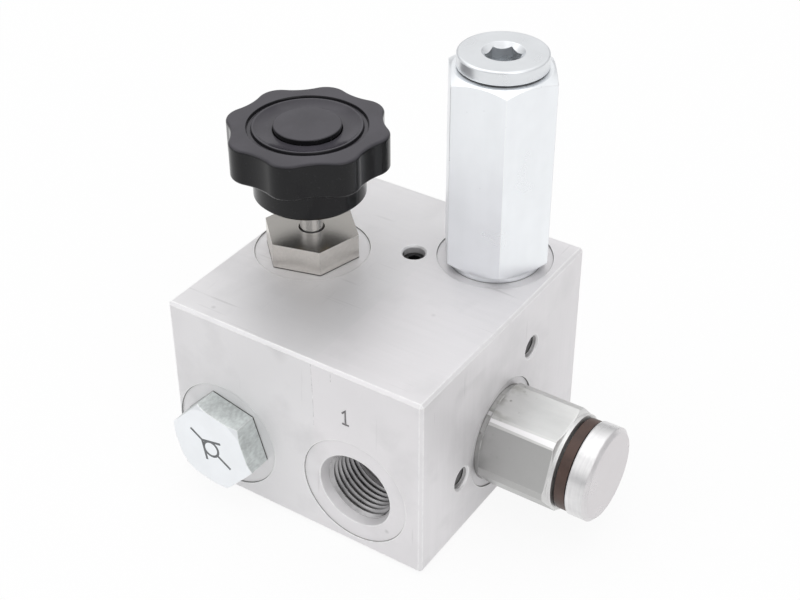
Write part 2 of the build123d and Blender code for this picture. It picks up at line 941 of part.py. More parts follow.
# Regulating spool: metering orifice in the middle, radial ports behind the cage's windows
spool_top = cage_top + spool_travel + stop_gap
with BuildPart() as flow_regulator_spool:
    turn(
        regulator_seat,
        [
            (poppet_spring_bore, -spool_top),
            (poppet_radius, -spool_top),
            (poppet_radius, -poppet_skirt_end),
            (spool_bore_radius, -poppet_skirt_end),
            (spool_bore_radius, -spool_bore_end),
            (spool_orifice_radius, -spool_bore_end),
            (spool_orifice_radius, -spool_spring_floor),
            (poppet_spring_bore, -spool_spring_floor),
        ],
    )
    window_centre = regulator_seat.origin - regulator_seat.z_dir * window_depth
    for spool_side in (
        section_plane(regulator_seat),
        Plane(regulator_seat.origin, x_dir=regulator_seat.y_dir, z_dir=regulator_seat.x_dir),
    ):
        with BuildSketch(spool_side) as spool_ports:
            with Locations(spool_side.to_local_coords(window_centre)):
                Circle(spool_port_radius)
        extrude(spool_ports.sketch, cage_radius, both=True, mode=Mode.SUBTRACT)

with BuildPart() as flow_regulator_spring:
    coil_spring(
        regulator_seat,
        -spool_spring_floor + seat_gap,
        regulator_plate_low - seat_gap,
        regulator_spring_radius,
        regulator_wire_radius,
        regulator_spring_turns,
    )

with BuildPart() as flow_regulator_spring_plate:
    turn(
        regulator_seat,
        [
            (0, regulator_plate_low - regulator_plate_spigot_length),
            (regulator_plate_spigot_radius, regulator_plate_low - regulator_plate_spigot_length),
            (regulator_plate_spigot_radius, regulator_plate_low),
            (regulator_plate_radius, regulator_plate_low),
            (regulator_plate_radius, regulator_plate_low + regulator_plate_thickness),
            (0, regulator_plate_low + regulator_plate_thickness),
        ],
    )

with BuildPart() as flow_regulator_adjuster:
    turn(
        regulator_seat,
        [
            (0, regulator_plate_low + regulator_plate_thickness + seat_gap),
            (regulator_nose_radius, regulator_plate_low + regulator_plate_thickness + seat_gap),
            (regulator_nose_radius, regulator_adjuster_low),
            (regulator_adjuster_radius - guide_clearance, regulator_adjuster_low),
            (regulator_adjuster_radius - guide_clearance, regulator_adjuster_high),
            (0, regulator_adjuster_high),
        ],
    )
    hexagon(
        regulator_seat,
        regulator_socket_flats,
        regulator_adjuster_high - regulator_socket_depth,
        regulator_adjuster_high,
        mode=Mode.SUBTRACT,
    )

# Cup-shaped end cap pushed over the spigot
cap_low = regulator_collar_end + cap_ring_low_gap + cap_ring_width + cap_ring_gap
with BuildPart() as flow_regulator_cap:
    turn(
        regulator_seat,
        [
            (regulator_spigot_radius + socket_clearance, cap_low),
            (cap_radius, cap_low),
            (cap_radius, cap_end - cap_edge_length),
            (cap_radius - cap_edge_drop, cap_end),
            (0, cap_end),
            (0, cap_end - cap_wall),
            (regulator_spigot_radius + socket_clearance, cap_end - cap_wall),
        ],
    )

# Flat rubber ring between the collar and the cap
with BuildPart() as flow_regulator_cap_ring:
    turn(
        regulator_seat,
        [
            (regulator_spigot_radius + socket_clearance, regulator_collar_end + cap_ring_low_gap),
            (cap_ring_radius, regulator_collar_end + cap_ring_low_gap),
            (cap_ring_radius, cap_low - cap_ring_gap),
            (regulator_spigot_radius + socket_clearance, cap_low - cap_ring_gap),
        ],
    )

with BuildPart() as flow_regulator_head_seal:
    head_seal(regulator_seat)

with BuildPart() as flow_regulator_nose_seal:
    nose_seal(regulator_seat)

pieces = {
    "manifold_block": manifold_block,
    "construction_plugs": construction_plugs,
    "check_valve_body": check_valve_body,
    "check_valve_cage": check_valve_cage,
    "check_valve_poppet": check_valve_poppet,
    "check_valve_spring": check_valve_spring,
    "check_valve_head_seal": check_valve_head_seal,
    "check_valve_nose_seal": check_valve_nose_seal,
    "needle_valve_body": needle_valve_body,
    "needle_valve_cage": needle_valve_cage,
    "needle_valve_needle": needle_valve_needle,
    "needle_valve_spindle": needle_valve_spindle,
    "needle_valve_stem_seal": needle_valve_stem_seal,
    "needle_valve_head_seal": needle_valve_head_seal,
    "needle_valve_nose_seal": needle_valve_nose_seal,
    "needle_valve_knob": needle_valve_knob,
    "needle_valve_knob_bush": needle_valve_knob_bush,
    "needle_valve_knob_cover": needle_valve_knob_cover,
    "relief_valve_housing": relief_valve_housing,
    "relief_valve_cage": relief_valve_cage,
    "relief_valve_poppet": relief_valve_poppet,
    "relief_valve_spring": relief_valve_spring,
    "relief_valve_spring_plate": relief_valve_spring_plate,
    "relief_valve_adjuster": relief_valve_adjuster,
    "relief_valve_plug": relief_valve_plug,
    "relief_valve_plug_seal": relief_valve_plug_seal,
    "relief_valve_head_seal": relief_valve_head_seal,
    "relief_valve_nose_seal": relief_valve_nose_seal,
    "flow_regulator_body": flow_regulator_body,
    "flow_regulator_cage": flow_regulator_cage,
    "flow_regulator_spool": flow_regulator_spool,
    "flow_regulator_spring": flow_regulator_spring,
    "flow_regulator_spring_plate": flow_regulator_spring_plate,
    "flow_regulator_adjuster": flow_regulator_adjuster,
    "flow_regulator_cap": flow_regulator_cap,
    "flow_regulator_cap_ring": flow_regulator_cap_ring,
    "flow_regulator_head_seal": flow_regulator_head_seal,
    "flow_regulator_nose_seal": flow_regulator_nose_seal,
}

os.makedirs("parts", exist_ok=True)
for label, piece in pieces.items():
    piece.part.label = label
    export_step(piece.part, f"parts/{label}.step")
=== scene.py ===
import json
from math import cos, radians, sin, tau

import bmesh
import bpy
from bpy.props import FloatProperty, FloatVectorProperty, PointerProperty
from mathutils import Matrix, Vector


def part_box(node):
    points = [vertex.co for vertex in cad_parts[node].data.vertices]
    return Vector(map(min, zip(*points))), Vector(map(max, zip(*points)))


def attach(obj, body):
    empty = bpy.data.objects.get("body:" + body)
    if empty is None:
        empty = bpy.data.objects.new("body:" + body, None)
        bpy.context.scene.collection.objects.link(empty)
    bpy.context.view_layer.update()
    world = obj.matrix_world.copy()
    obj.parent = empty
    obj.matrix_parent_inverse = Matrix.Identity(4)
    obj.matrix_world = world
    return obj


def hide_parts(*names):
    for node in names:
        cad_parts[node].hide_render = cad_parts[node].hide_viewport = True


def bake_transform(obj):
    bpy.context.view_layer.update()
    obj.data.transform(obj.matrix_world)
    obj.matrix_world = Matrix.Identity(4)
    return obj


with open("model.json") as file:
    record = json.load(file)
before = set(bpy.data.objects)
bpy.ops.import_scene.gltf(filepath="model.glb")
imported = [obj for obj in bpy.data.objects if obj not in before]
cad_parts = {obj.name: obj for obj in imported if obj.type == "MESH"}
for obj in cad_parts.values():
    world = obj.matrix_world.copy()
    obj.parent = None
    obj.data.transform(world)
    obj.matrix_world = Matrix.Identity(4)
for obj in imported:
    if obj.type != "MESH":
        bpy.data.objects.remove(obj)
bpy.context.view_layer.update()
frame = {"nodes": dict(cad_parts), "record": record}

bl_info = {
    "name": "Hydraulic Manifold",
    "version": (1, 0, 0),
    "blender": (4, 5, 0),
    "location": "View3D > Sidebar > Manifold",
    "description": "Finishes, threads and marks of a hydraulic lowering manifold",
    "category": "Object",
}

MM = 0.001
MOUNTS = {mount["name"]: mount for mount in frame["record"]["mounts"]}
BLOCK_LOW, BLOCK_HIGH = (Vector(corner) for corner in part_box("manifold_block"))
CHECK_LOW, CHECK_HIGH = (Vector(corner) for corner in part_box("check_valve_body"))
# Colour of the painted shade where surfaces meet, in corners, steps and crevices
CORNER_SHADE = (0.13, 0.125, 0.12)

# Screwed plugs: name, mouth of the hole, direction outward, depth of the thread that shows
PLUG_BORE = 3.0 * MM
PLUG_HOLES = (
    ("tank_plug", (BLOCK_HIGH.x, 12.8 * MM, 37.1 * MM), (1, 0, 0), 2.65 * MM),
    ("cross_plug", (BLOCK_HIGH.x, -20.5 * MM, 17.4 * MM), (1, 0, 0), 2.65 * MM),
    ("top_plug", (1.7 * MM, 12.8 * MM, BLOCK_HIGH.z), (0, 0, 1), 1.9 * MM),
)
MOUNT_THREAD_DEPTH = 11.5 * MM

# Flow regulator: radii of its corners, collar and spigot, and where its hexagon ends
CORNER_RADIUS = 14.0 * MM
COLLAR_RADIUS = 12.68 * MM
SPIGOT_RADIUS = 12.3 * MM
HEXAGON_END = BLOCK_HIGH.x + 19.6 * MM
COLLAR_STEP = 0.6 * MM
CHAMFER_START = HEXAGON_END - 2.9 * MM
COLLAR_END = HEXAGON_END + 1.6 * MM
LIT_CORNER_HEIGHT = 10.88 * MM

# Block marks, along X and Z on the front face, in millimetres
STAMP_FOOT = (15.9, 38.0)
SCRIBED_LINE = ((6.30, 52.1), (6.42, 46.0), (6.55, 39.8), (6.42, 33.5))
SHORT_NICK = ((11.95, 51.9), (12.02, 49.1))
SECOND_PASS_START, SECOND_PASS_FULL = 6.3 * MM, 6.6 * MM

# Ball-and-seat sign on the check valve, in millimetres round the middle of its face
SIGN_TILT = radians(-34)
SIGN_LINES = (
    ((-7.4, 0.0), (-3.1, 0.0)),
    ((1.2, 4.3), (-3.1, 0.0), (1.2, -4.3)),
    ((2.7, 0.0), (7.4, 0.0)),
)
SIGN_BALL_CENTRE, SIGN_BALL_RADIUS = (0.2 * MM, 0), 2.3 * MM


# Sizes and colours a user would change

class BlockSettings(bpy.types.PropertyGroup):
    """Machined aluminium block"""

    colour: FloatVectorProperty(
        name="Aluminium", description="Colour of the milled faces", subtype="COLOR",
        default=(0.83, 0.82, 0.832), min=0, max=1,
    )
    mark_depth: FloatProperty(
        name="Tool marks", description="Height of the milled tool marks", default=0.02 * MM, unit="LENGTH",
    )
    port_pitch: FloatProperty(
        name="Port pitch", description="Pitch of the port threads", default=1.5875 * MM, unit="LENGTH",
    )
    port_thread: FloatProperty(
        name="Port thread height", description="Height of the port thread ridges", default=0.86 * MM,
        unit="LENGTH",
    )
    plug_pitch: FloatProperty(
        name="Plug pitch", description="Pitch of the threads above the screwed plugs", default=1.0 * MM,
        unit="LENGTH",
    )
    plug_thread: FloatProperty(
        name="Plug thread height", description="Height of the ridges above the screwed plugs",
        default=0.5 * MM, unit="LENGTH",
    )
    mount_pitch: FloatProperty(
        name="Mounting pitch", description="Pitch of the two mounting threads", default=1.25 * MM,
        unit="LENGTH",
    )
    mount_thread: FloatProperty(
        name="Mounting thread height", description="Height of the mounting thread ridges",
        default=0.65 * MM, unit="LENGTH",
    )
    stamp_height: FloatProperty(
        name="Stamp height", description="Height of the stamped port number", default=4.1 * MM, unit="LENGTH",
    )
    sign_width: FloatProperty(
        name="Sign line", description="Width of the lines etched on the check valve", default=0.7 * MM,
        unit="LENGTH",
    )


class MetalSettings(bpy.types.PropertyGroup):
    """Plated and machined steels"""

    zinc: FloatVectorProperty(
        name="Zinc", description="Bluish white zinc plate", subtype="COLOR", default=(0.92, 0.943, 0.968),
        min=0, max=1,
    )
    bar: FloatVectorProperty(
        name="Rolled flats", description="Duller flats of the check valve's hexagon", subtype="COLOR",
        default=(0.63, 0.665, 0.655), min=0, max=1,
    )
    # Kept dark as painted shade on the needle valve's top; its flats are painted 1.85 times lighter
    nickel: FloatVectorProperty(
        name="Nickel", description="Warm grey nickel plate", subtype="COLOR", default=(0.38, 0.365, 0.345),
        min=0, max=1,
    )
    satin: FloatVectorProperty(
        name="Satin steel", description="Machined satin steel", subtype="COLOR", default=(0.66, 0.66, 0.65),
        min=0, max=1,
    )
    bright: FloatVectorProperty(
        name="Bright metal", description="Turned bright faces", subtype="COLOR", default=(0.78, 0.775, 0.78),
        min=0, max=1,
    )


class KnobSettings(bpy.types.PropertyGroup):
    """Moulded knob and rubber ring"""

    plastic: FloatVectorProperty(
        name="Plastic", description="Black moulded plastic", subtype="COLOR", default=(0.006, 0.006, 0.007),
        min=0, max=1,
    )
    haze: FloatVectorProperty(
        name="Haze", description="Handling haze on upward faces", subtype="COLOR", default=(0.066, 0.062, 0.074),
        min=0, max=1,
    )
    ring: FloatVectorProperty(
        name="Ring rubber", description="Brown rubber of the cap ring", subtype="COLOR",
        default=(0.05, 0.025, 0.018), min=0, max=1,
    )


class StageSettings(bpy.types.PropertyGroup):
    """Camera, floor and lamps"""

    camera: FloatVectorProperty(
        name="Camera", description="Where the camera stands", subtype="TRANSLATION", unit="LENGTH",
        default=(0.17792, -0.26007, 0.27074),
    )
    azimuth: FloatProperty(
        name="Azimuth", description="Camera angle round the object", default=radians(33.5), subtype="ANGLE",
    )
    elevation: FloatProperty(
        name="Elevation", description="Camera angle above the floor", default=radians(35.65), subtype="ANGLE",
    )
    roll: FloatProperty(name="Roll", description="Camera roll", default=radians(-0.13), subtype="ANGLE")
    lens: FloatProperty(name="Lens", description="Focal length in millimetres", default=67.88)
    world: FloatProperty(
        name="World light", description="Strength of the world's light on surfaces", default=0.80,
    )
    lamps: FloatProperty(name="Lamp power", description="Power of the overhead lamp in watts", default=3.8)
    floor_lift: FloatProperty(
        name="Floor lift", description="Share of white in the floor as it is seen", default=0.90,
    )


# Shader maths: a wrapped socket adds Math nodes when it is used in an expression

class Value:
    """One output socket of a shader tree"""

    def __init__(self, tree, socket):
        self.tree = tree
        self.socket = socket

    def math(self, operation, *others):
        inputs = dict(enumerate((self, *others)))
        return self.tree.node("ShaderNodeMath", {"operation": operation}, inputs)

    def __add__(self, other):
        return self.math("ADD", other)

    __radd__ = __add__

    def __sub__(self, other):
        return self.math("SUBTRACT", other)

    def __rsub__(self, other):
        return self * -1 + other

    def __mul__(self, other):
        return self.math("MULTIPLY", other)

    __rmul__ = __mul__

    def __abs__(self):
        return self.math("ABSOLUTE")

    def clamp(self):
        return self.tree.node("ShaderNodeClamp", {}, {0: self})

    def ramp(self, low, high, to_low=0.0, to_high=1.0):
        """The value moved from one range to another, clamped"""
        inputs = {0: self, 1: low, 2: high, 3: to_low, 4: to_high}
        return self.tree.node("ShaderNodeMapRange", {"clamp": True}, inputs)


class Tree:
    """The shader tree of a new material or world"""

    def __init__(self, owner):
        self.owner = owner
        owner.use_nodes = True
        owner.node_tree.nodes.clear()

    def node(self, kind, settings, inputs, output=0):
        """One output of a new node: its settings come first, then its sockets' values or links"""
        node = self.owner.node_tree.nodes.new(kind)
        for key, setting in settings.items():
            setattr(node, key, setting)
        for key, value in inputs.items():
            if isinstance(value, Value):
                self.owner.node_tree.links.new(value.socket, node.inputs[key])
            elif node.inputs[key].type == "RGBA":
                node.inputs[key].default_value = (*value, 1)
            else:
                node.inputs[key].default_value = value
        return Value(self, node.outputs[output]) if node.outputs else None

    def stretched(self, *stretch):
        """Object coordinates stretched along the axes"""
        point = self.node("ShaderNodeTexCoord", {}, {}, "Object")
        return self.node("ShaderNodeMapping", {}, {"Vector": point, "Scale": stretch})

    def noise(self, stretch, detail=3.0):
        """Cloudy noise between 0 and 1, with its grain per metre along each axis"""
        inputs = {"Vector": self.stretched(*stretch), "Scale": 1.0, "Detail": detail, "Roughness": 0.55}
        return self.node("ShaderNodeTexNoise", {}, inputs, "Fac")

    def specks(self, scale, size):
        """Scattered specks: 1 in the middle of each, 0 between them"""
        inputs = {"Vector": self.stretched(scale, scale, scale), "Scale": 1.0}
        return self.node("ShaderNodeTexVoronoi", {}, inputs, "Distance").ramp(0.0, size, 1.0, 0.0)

    def scratches(self, stretch):
        """Sparse thin lines along the axis with the least stretch"""
        patches = self.noise((70, 70, 70), 1.0).ramp(0.5, 0.62)
        return self.noise(stretch, 1.0).ramp(0.68, 0.74) * patches

    def part(self, vector, axis):
        """One coordinate of a vector"""
        return self.node("ShaderNodeSeparateXYZ", {}, {0: vector}, axis)

    def place(self, axis):
        """The object coordinate along one axis, in metres"""
        return self.part(self.node("ShaderNodeTexCoord", {}, {}, "Object"), axis)

    def facing(self, axis):
        """The surface direction's share along one of the object's axes"""
        return self.part(self.node("ShaderNodeTexCoord", {}, {}, "Normal"), axis)

    def mix(self, factor, first, second):
        """A colour between two colours"""
        inputs = {0: factor, 6: first, 7: second}
        return self.node("ShaderNodeMix", {"data_type": "RGBA"}, inputs, 2)

    def rounded(self, radius):
        """The surface direction with its edges rounded"""
        return self.node("ShaderNodeBevel", {"samples": 6}, {"Radius": radius})

    def edge(self, width):
        """1 on sharp edges within a width, 0 on flat faces"""
        true_normal = self.node("ShaderNodeNewGeometry", {}, {}, "Normal")
        inputs = {0: self.rounded(width), 1: true_normal}
        settings = {"operation": "DOT_PRODUCT"}
        return self.node("ShaderNodeVectorMath", settings, inputs, "Value").ramp(0.995, 0.93)

    def crevice(self, distance, open_share, shut_share):
        """0 in the open, towards 1 where surfaces meet, from ambient occlusion: the mask of painted shade"""
        inputs = {"Distance": distance}
        shut = self.node("ShaderNodeAmbientOcclusion", {"samples": 12}, inputs, "AO")
        return shut.ramp(1 - open_share, 1 - shut_share)

    def bump(self, height, distance, normal):
        """Relief with a height in metres, on a rounded normal"""
        inputs = {"Height": height, "Distance": distance, "Strength": 1.0, "Normal": normal}
        return self.node("ShaderNodeBump", {}, inputs)

    def finished(self, kind, output, inputs):
        """Close the tree with its shader"""
        shader = self.node(kind, {}, inputs)
        self.node(output, {}, {"Surface": shader})
        return self.owner

    def surface(self, **inputs):
        """The finished material, with the principled shader's sockets by name"""
        named = {key.replace("_", " "): value for key, value in inputs.items()}
        return self.finished("ShaderNodeBsdfPrincipled", "ShaderNodeOutputMaterial", named)


def shaded(colour, share):
    """A colour made darker or lighter"""
    return tuple(min(1.0, channel * share) for channel in colour)


# Finishes

def regulator_offset(tree, axis):
    """How far along Y or Z a point lies from the flow regulator's axis"""
    low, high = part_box("flow_regulator_cap")
    return tree.place(axis) - (low[axis] + high[axis]) / 2


def near_regulator(tree, inner, outer):
    """1 inside a radius round the flow regulator's axis, 0 outside a larger one"""
    sideways, upward = regulator_offset(tree, 1), regulator_offset(tree, 2)
    return (sideways * sideways + upward * upward).ramp(inner ** 2, outer ** 2, 1.0, 0.0)


def milled_aluminium(name, colour, mark_depth):
    """Block faces: cloudy aluminium, faint cutter streaks, a few scratches, smudges with painted shade round the
    flow regulator, worn edges with a painted highlight, painted shade in holes and corners
    """
    tree = Tree(bpy.data.materials.new(name))
    clouds = tree.noise((24, 24, 24))
    stains = tree.noise((55, 40, 55), 4.0)
    streaks = tree.noise((45, 700, 45), 4.0)
    grain = tree.noise((1800, 1800, 1800), 2.0)
    scratch = tree.scratches((30, 900, 30)) + tree.scratches((900, 60, 60)) * 0.6
    second_pass = tree.place(0).ramp(SECOND_PASS_START, SECOND_PASS_FULL)
    base = tree.mix(clouds.ramp(0.32, 0.68), shaded(colour, 0.90), colour)
    base = tree.mix(second_pass * 0.25, base, (colour[0], colour[1] * 0.97, colour[2] * 0.985))
    base = tree.mix(stains.ramp(0.53, 0.72) * 0.5, base, shaded(colour, 0.76))
    base = tree.mix(streaks.ramp(0.35, 0.7) * 0.3, base, shaded(colour, 0.88))
    base = tree.mix(scratch.clamp() * 0.4, base, shaded(colour, 0.62))
    base = tree.mix(tree.specks(60, 0.05) * 0.6, base, shaded(colour, 0.55))
    # Smudges and painted shade on the right face round the flow regulator, fading out 30 mm from its axis
    smudged_and_shaded = tree.facing(0).clamp() * near_regulator(tree, 12 * MM, 30 * MM)
    smudge = tree.noise((70, 90, 90), 3.0).ramp(0.38, 0.62, 0.3, 1.0)
    base = tree.mix(smudged_and_shaded * smudge * 0.45, base, shaded(colour, 0.66))
    # Edge wear with a painted highlight: broken edges painted white in patches, and made smoother
    worn = tree.edge(0.6 * MM) * tree.noise((500, 500, 500), 2.0).ramp(0.35, 0.55, 0.4, 1.0)
    base = tree.mix(worn * 0.9, base, (1.0, 1.0, 1.0))
    # Painted shade deep in the drilled holes and ports
    hole_shade = tree.crevice(5 * MM, 0.55, 0.95)
    base = tree.mix(hole_shade * 0.8, base, (0.10, 0.098, 0.10))
    # Painted shade in tight corners, such as the steps of the spotfaces
    base = tree.mix(tree.crevice(0.4 * MM, 0.15, 0.45) * 0.9, base, CORNER_SHADE)
    rough = clouds.ramp(0.3, 0.7, 0.46, 0.56) + grain.ramp(0.3, 0.7, -0.03, 0.03) - worn * 0.12
    height = streaks * 0.5 + grain * 0.2 - scratch * 0.6
    normal = tree.bump(height, mark_depth, tree.rounded(0.35 * MM))
    return tree.surface(Base_Color=base, Metallic=0.45, Roughness=rough, Normal=normal)


def cut_thread(name, colour, depth):
    """Thread flanks: a darker copy of the metal as painted shade, darker still in the grooves and deep in the bore,
    under narrow crests with a painted highlight
    """
    tree = Tree(bpy.data.materials.new(name))
    wipe = tree.noise((500, 500, 500), 3.0)
    # The flanks are a darker copy of the metal: painted shade inside the bore
    base = tree.mix(wipe.ramp(0.3, 0.7), shaded(colour, 0.42), shaded(colour, 0.58))
    # Painted shade in the thread grooves
    base = tree.mix(tree.crevice(1.1 * MM, 0.25, 0.65), base, (0.035, 0.033, 0.034))
    # Painted shade deep in the bore, and a painted highlight on the crests above it
    deep = tree.crevice(depth, 0.45, 0.95)
    base = tree.mix(tree.edge(0.12 * MM) * (1 - deep * 0.8), base, (0.92, 0.91, 0.90))
    base = tree.mix(deep * 0.85, base, (0.05, 0.048, 0.05))
    rough = wipe.ramp(0.3, 0.7, 0.26, 0.40)
    normal = tree.bump(wipe, 0.01 * MM, tree.rounded(0.06 * MM))
    return tree.surface(Base_Color=base, Metallic=0.85, Roughness=rough, Normal=normal)


def plated_steel(
    name, colour, roughness, streak, round_width, dirt_and_shade=0.7, metallic=0.9, flats=None, mottle=0.1, flats_axis=1,
):
    """Plated or turned steel: faint streaks, soft clouds, edges with a painted highlight and dark nicks, painted
    shade in corners, and flats of another tone round an axis
    """
    tree = Tree(bpy.data.materials.new(name))
    streaks = tree.noise(streak, 3.0)
    clouds = tree.noise((110, 110, 110), 2.0)
    base = tree.mix(clouds.ramp(0.3, 0.7) * 0.6 + streaks.ramp(0.3, 0.7) * 0.4, shaded(colour, 0.93), colour)
    rough = clouds.ramp(0.3, 0.7, roughness - 0.03, roughness + 0.04)
    height = streaks * 0.6 + clouds * 0.2
    # Flats of another tone: on the check valve the rolled bar's own tone; on the needle valve a lighter copy of the
    # nickel, painted light against a top painted dark
    if flats:
        sides = abs(tree.facing(flats_axis)).ramp(0.75, 0.35)
        rolled = tree.noise((1400, 700, 1400), 4.0) * 0.5 + tree.noise((170, 120, 170), 3.0) * 0.5
        mottled = tree.mix(rolled.ramp(0.38, 0.62), shaded(flats, 1 - mottle), shaded(flats, 1 + mottle))
        base = tree.mix(sides, base, mottled)
        rough = rough + sides * 0.14
        height = height + rolled * sides * 0.8
    base = tree.mix(tree.specks(210, 0.045) * 0.5, base, shaded(colour, 0.5))
    # Painted highlight on the edges
    base = tree.mix(tree.edge(0.3 * MM) * 0.6, base, shaded(colour, 1.15))
    base = tree.mix(tree.specks(620, 0.13) * tree.edge(0.9 * MM) * dirt_and_shade * 0.8, base, shaded(colour, 0.35))
    # Painted shade in corners
    base = tree.mix(tree.crevice(0.7 * MM, 0.30, 0.9) * dirt_and_shade, base, CORNER_SHADE)
    normal = tree.bump(height, 0.012 * MM, tree.rounded(round_width))
    return tree.surface(Base_Color=base, Metallic=metallic, Roughness=rough, Normal=normal)


def machined_housing(name, colour):
    """Satin machined body along X: cloudy flats, painted shade on the low flat, a painted highlight along the front
    corner, on the collar and on the edges, dark specks and smears near the block, and painted shade in corners
    """
    tree = Tree(bpy.data.materials.new(name))
    clouds = tree.noise((70, 160, 160), 3.0)
    grain = tree.noise((900, 900, 900), 3.0)
    near_block = tree.place(0).ramp(BLOCK_HIGH.x + 9 * MM, BLOCK_HIGH.x + 1 * MM)
    base = tree.mix(clouds.ramp(0.32, 0.68), shaded(colour, 0.88), shaded(colour, 1.04))
    base = tree.mix(tree.scratches((250, 900, 250)) * 0.4, base, shaded(colour, 0.6))
    marks = tree.specks(420, 0.2) * grain.ramp(0.42, 0.55) * (near_block * 0.9 + 0.2)
    base = tree.mix(marks.clamp(), base, (0.16, 0.155, 0.135))
    smear = tree.noise((150, 210, 210), 3.0).ramp(0.5, 0.66) * near_block
    base = tree.mix(smear * 0.6, base, (0.30, 0.30, 0.27))
    hexagon = tree.place(0).ramp(HEXAGON_END + 0.1 * MM, HEXAGON_END)
    # Painted shade on the low flats of the hexagon
    low_side = tree.facing(2).ramp(0.60, 0.45) * hexagon
    base = tree.mix(low_side * 0.8, base, shaded(colour, 0.66))
    # Painted highlight in a line along the lit front corner, and a painted sheen on the collar
    width = tree.place(0).ramp(BLOCK_HIGH.x, HEXAGON_END, 0.36 * MM, 0.56 * MM)
    front = regulator_offset(tree, 1).ramp(0.0, -4 * MM) * hexagon
    line = (width - abs(regulator_offset(tree, 2) - LIT_CORNER_HEIGHT)).ramp(0.0, 0.14 * MM) * front
    base = tree.mix(line * 0.8 + (1 - hexagon) * 0.2, base, (0.97, 0.96, 0.97))
    # Painted highlight on the edges
    base = tree.mix(tree.edge(0.35 * MM) * 0.7, base, shaded(colour, 1.25))
    # Painted shade in corners, such as where the body meets the block
    base = tree.mix(tree.crevice(0.8 * MM, 0.30, 0.85) * 0.85, base, CORNER_SHADE)
    rough = clouds.ramp(0.3, 0.7, 0.34, 0.44) + grain.ramp(0.3, 0.7, -0.03, 0.03)
    normal = tree.bump(grain * 0.5 + clouds * 0.4, 0.012 * MM, tree.rounded(0.2 * MM))
    return tree.surface(Base_Color=base, Metallic=0.85, Roughness=rough, Normal=normal)


def turned_cap(name, colour):
    """Turned cap along X: streaks round it, painted shade on the end face, soft edges, specks, and painted shade in
    corners
    """
    tree = Tree(bpy.data.materials.new(name))
    clouds = tree.noise((60, 130, 130), 3.0)
    streaks = tree.noise((1600, 90, 90), 3.0)
    # Painted shade on the end face, with a slight pink tint
    end_face = tree.facing(0).ramp(0.55, 0.95)
    worn = clouds.ramp(0.34, 0.66) * 0.65 + streaks.ramp(0.3, 0.7) * 0.35
    base = tree.mix(worn, shaded(colour, 0.80), shaded(colour, 1.10))
    base = tree.mix(end_face * 0.85, base, (colour[0] * 0.83, colour[1] * 0.80, colour[2] * 0.81))
    base = tree.mix(tree.specks(330, 0.09) * 0.5, base, shaded(colour, 0.45))
    # Painted shade in corners
    base = tree.mix(tree.crevice(0.7 * MM, 0.30, 0.85) * 0.7, base, CORNER_SHADE)
    rough = clouds.ramp(0.3, 0.7, 0.24, 0.38)
    normal = tree.bump(clouds + streaks * 0.3, 0.03 * MM, tree.rounded(0.6 * MM))
    return tree.surface(Base_Color=base, Metallic=0.85, Roughness=rough, Normal=normal)


def moulded_plastic(name, colour, haze):
    """Glossy black moulding with a faint ripple, and handling haze on the faces that look up"""
    tree = Tree(bpy.data.materials.new(name))
    ripple = tree.noise((110, 110, 110), 2.0)
    dust = tree.noise((1300, 1300, 1300), 2.0)
    upward = tree.facing(2).ramp(0.25, 0.95)
    smears = tree.noise((130, 90, 130), 3.0).ramp(0.3, 0.7, 0.75, 1.0)
    base = tree.mix(upward * smears, colour, haze)
    base = tree.mix(dust.ramp(0.66, 0.8) * 0.25, base, (0.10, 0.10, 0.105))
    rough = ripple.ramp(0.3, 0.7, 0.10, 0.16) + upward * 0.06
    height = ripple * 0.8 + dust * 0.1
    normal = tree.bump(height, 0.025 * MM, tree.rounded(0.3 * MM))
    return tree.surface(Base_Color=base, Roughness=rough, Normal=normal, IOR=1.34)


def rubber(name, colour, roughness):
    """Moulded rubber with a fine matt grain and painted shade in its corners and gaps"""
    tree = Tree(bpy.data.materials.new(name))
    grain = tree.noise((1600, 1600, 1600))
    cloud = tree.noise((180, 180, 180), 2.0)
    base = tree.mix(cloud.ramp(0.35, 0.7), colour, tuple(channel * 1.6 + 0.008 for channel in colour))
    # Painted shade in corners and gaps
    base = tree.mix(tree.crevice(0.6 * MM, 0.30, 0.75), base, (0.004, 0.004, 0.006))
    rough = cloud.ramp(0.3, 0.7, roughness, roughness + 0.1)
    normal = tree.bump(grain, 0.015 * MM, tree.rounded(0.15 * MM))
    return tree.surface(Base_Color=base, Roughness=rough, Normal=normal)


def dark_mark(name, colour):
    """Etched or stamped line, uneven in tone"""
    tree = Tree(bpy.data.materials.new(name))
    grain = tree.noise((1500, 1500, 1500))
    base = tree.mix(grain.ramp(0.35, 0.7), colour, shaded(colour, 1.8))
    return tree.surface(Base_Color=base, Roughness=grain.ramp(0.3, 0.7, 0.45, 0.65), Metallic=0.3)


FINISHES = {}


